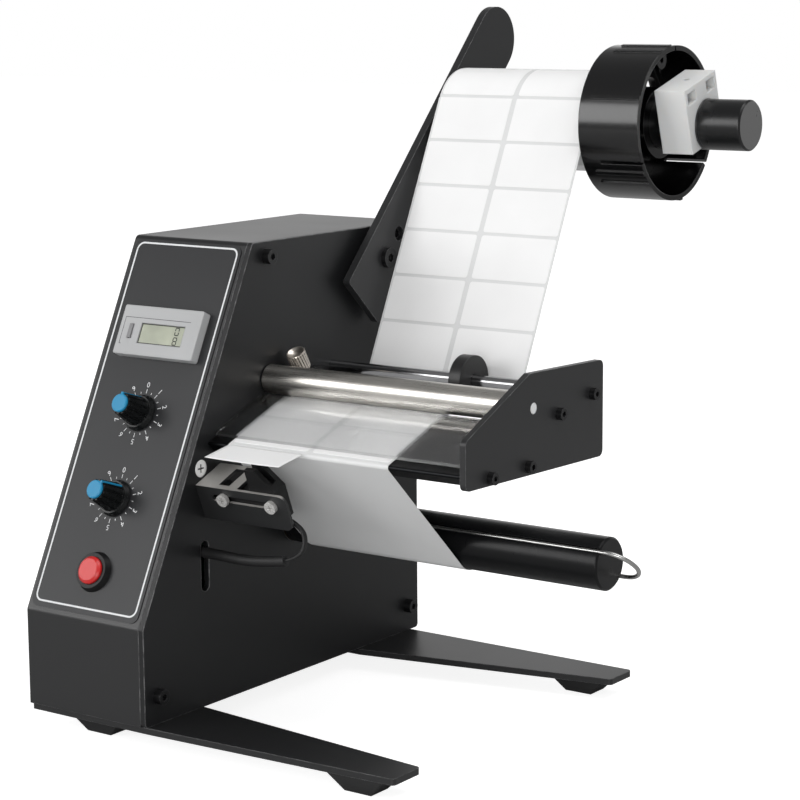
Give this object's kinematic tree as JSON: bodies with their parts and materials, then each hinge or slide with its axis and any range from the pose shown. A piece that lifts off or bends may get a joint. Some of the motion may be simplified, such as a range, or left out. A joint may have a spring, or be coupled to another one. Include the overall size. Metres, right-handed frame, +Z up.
{
  "type": "label dispenser",
  "caption": "Bench label dispenser: slanted control case on two long feet, label spool on a leaning arm, driven roller unit with peeling edge and a liner rewind shaft.",
  "frame": {"origin": "on the floor, under the centre of the front left foot", "axes": "+X to the right along the rollers and shafts, +Y from the control panel to the back, +Z up from the floor"},
  "size_m": [0.2589, 0.2897, 0.3266],
  "materials": {
    "black_steel": "satin black powder coat",
    "panel_print": "satin dark grey printed film",
    "black_plastic": "fine matt",
    "gloss_black": "moulded gloss",
    "grey_plastic": "light grey, satin",
    "display_glass": "pale green-grey display",
    "red_plastic": "gloss red",
    "blue_plastic": "satin blue",
    "white_plastic": "waxy white",
    "rubber": "matt",
    "drive_rubber": "ground matt",
    "steel": "ground",
    "zinc": "bright zinc",
    "black_screw": "black oxide",
    "chrome": "polished",
    "wire_steel": "drawn wire",
    "aluminium": "turned",
    "black_aluminium": "black anodised, satin",
    "bronze": "sintered bronze",
    "acrylic": "clear sheet",
    "paper": "coated paper",
    "circuit": "solder mask",
    "belt": "ribbed",
    "cable": "matt sleeve"
  },
  "bodies": {
    "frame": {"case_cover": "black_steel", "side_plate": "black_steel", "base_plate": "black_steel", "foot_bars": "black_steel", "rubber_feet": "rubber", "foot_bar_screws": "black_screw", "case_screws": "black_screw", "countersunk_screws": "zinc", "panel_overlay": "panel_print", "counter_housing": "grey_plastic", "counter_display": "display_glass", "potentiometers": "zinc", "power_switch": "black_plastic", "control_board": "circuit", "gear_motor": "steel", "motor_bracket": "zinc", "power_inlet": "black_plastic", "timing_belt": "belt", "rewind_belt": "belt", "shaft_bearings": "bronze", "roller_pins": "white_plastic", "guide_rod": "chrome", "tie_rod": "steel", "peel_table": "black_aluminium", "hold_down_plate": "acrylic", "outboard_plate": "black_steel", "frame_screws": "black_screw", "spool_arm": "black_steel", "arm_spacers": "black_aluminium", "arm_screws": "black_screw", "spool_shaft": "black_aluminium", "label_web": "paper", "sensor_bracket": "black_steel", "sensor_sleeve": "cable"},
    "roll": {"label_roll": "paper", "core_holder": "gloss_black"},
    "lock": {"lock_block": "white_plastic"},
    "driver": {"drive_roller": "drive_rubber", "drive_roller_shaft": "steel", "drive_pulley": "aluminium"},
    "presser": {"press_roller": "steel"},
    "motor_output": {"motor_shaft": "steel", "motor_pulley": "aluminium"},
    "rewinder": {"rewind_shaft": "black_aluminium", "rewind_pulley": "aluminium"},
    "clip": {"liner_clip": "wire_steel"},
    "length_dial": {"length_knob": "black_plastic", "length_knob_cap": "blue_plastic", "length_pot_shaft": "aluminium"},
    "speed_dial": {"speed_knob": "black_plastic", "speed_knob_cap": "blue_plastic", "speed_pot_shaft": "aluminium"},
    "button": {"power_button": "red_plastic"},
    "reset": {"counter_reset_button": "black_plastic"},
    "disc": {"guide_disc": "black_plastic"},
    "collar": {"guide_collar": "black_plastic"},
    "thumb": {"thumbscrew": "zinc"},
    "sensor": {"label_sensor": "black_plastic", "sensor_screws": "zinc", "sensor_wires": "cable"}
  },
  "joints": [
    {"name": "roll_spin", "type": "hinge", "parent": "frame", "child": "roll", "pos_m": [0.1385, 0.222, 0.27217], "axis": [1, 0, 0], "continuous": true},
    {"name": "lock_slide", "type": "slide", "parent": "frame", "child": "lock", "axis": [1, 0, 0], "range_m": [0, 0.019]},
    {"name": "drive_spin", "type": "hinge", "parent": "frame", "child": "driver", "pos_m": [0.034, 0.077, 0.14185], "axis": [1, 0, 0], "continuous": true},
    {"name": "press_spin", "type": "hinge", "parent": "frame", "child": "presser", "pos_m": [0.034, 0.077, 0.157], "axis": [1, 0, 0], "continuous": true},
    {"name": "motor_spin", "type": "hinge", "parent": "frame", "child": "motor_output", "pos_m": [0.012, 0.1365, 0.113], "axis": [1, 0, 0], "continuous": true},
    {"name": "rewind_spin", "type": "hinge", "parent": "frame", "child": "rewinder", "pos_m": [0.034, 0.0965, 0.0876], "axis": [1, 0, 0], "continuous": true},
    {"name": "clip_slide", "type": "slide", "parent": "rewinder", "child": "clip", "axis": [1, 0, 0], "range_m": [0, 0.1]},
    {"name": "length_dial_turn", "type": "hinge", "parent": "frame", "child": "length_dial", "pos_m": [0.0002, 0.02158, 0.1472], "axis": [0, -0.8973, 0.4415], "range_deg": [-324, 0]},
    {"name": "speed_dial_turn", "type": "hinge", "parent": "frame", "child": "speed_dial", "pos_m": [0.0002, 0.00338, 0.11023], "axis": [0, -0.8973, 0.4415], "range_deg": [-288, 36]},
    {"name": "power_press", "type": "slide", "parent": "frame", "child": "button", "axis": [0, 0.8973, -0.4415], "range_m": [0, 0.0018], "stiffness_N_per_m": 400, "springref_m": -0.001},
    {"name": "reset_press", "type": "slide", "parent": "frame", "child": "reset", "axis": [0, 0.8973, -0.4415], "range_m": [0, 0.0008], "stiffness_N_per_m": 300, "springref_m": -0.0006},
    {"name": "disc_slide", "type": "slide", "parent": "frame", "child": "disc", "axis": [1, 0, 0], "range_m": [-0.06, 0.055]},
    {"name": "collar_slide", "type": "slide", "parent": "frame", "child": "collar", "axis": [1, 0, 0], "range_m": [-0.002, 0]},
    {"name": "thumbscrew_turn", "type": "hinge", "parent": "collar", "child": "thumb", "pos_m": [0.044, 0.0975, 0.1516], "axis": [0, -0.5, 0.866], "continuous": true},
    {"name": "sensor_slide", "type": "slide", "parent": "frame", "child": "sensor", "axis": [1, 0, 0], "range_m": [-0.003, 0]}
  ],
  "couplings": [
    {"joint": "press_spin", "follows": "drive_spin", "ratio": -1.0219},
    {"joint": "motor_spin", "follows": "drive_spin", "ratio": 1.221},
    {"joint": "rewind_spin", "follows": "drive_spin", "ratio": 0.48387}
  ]
}
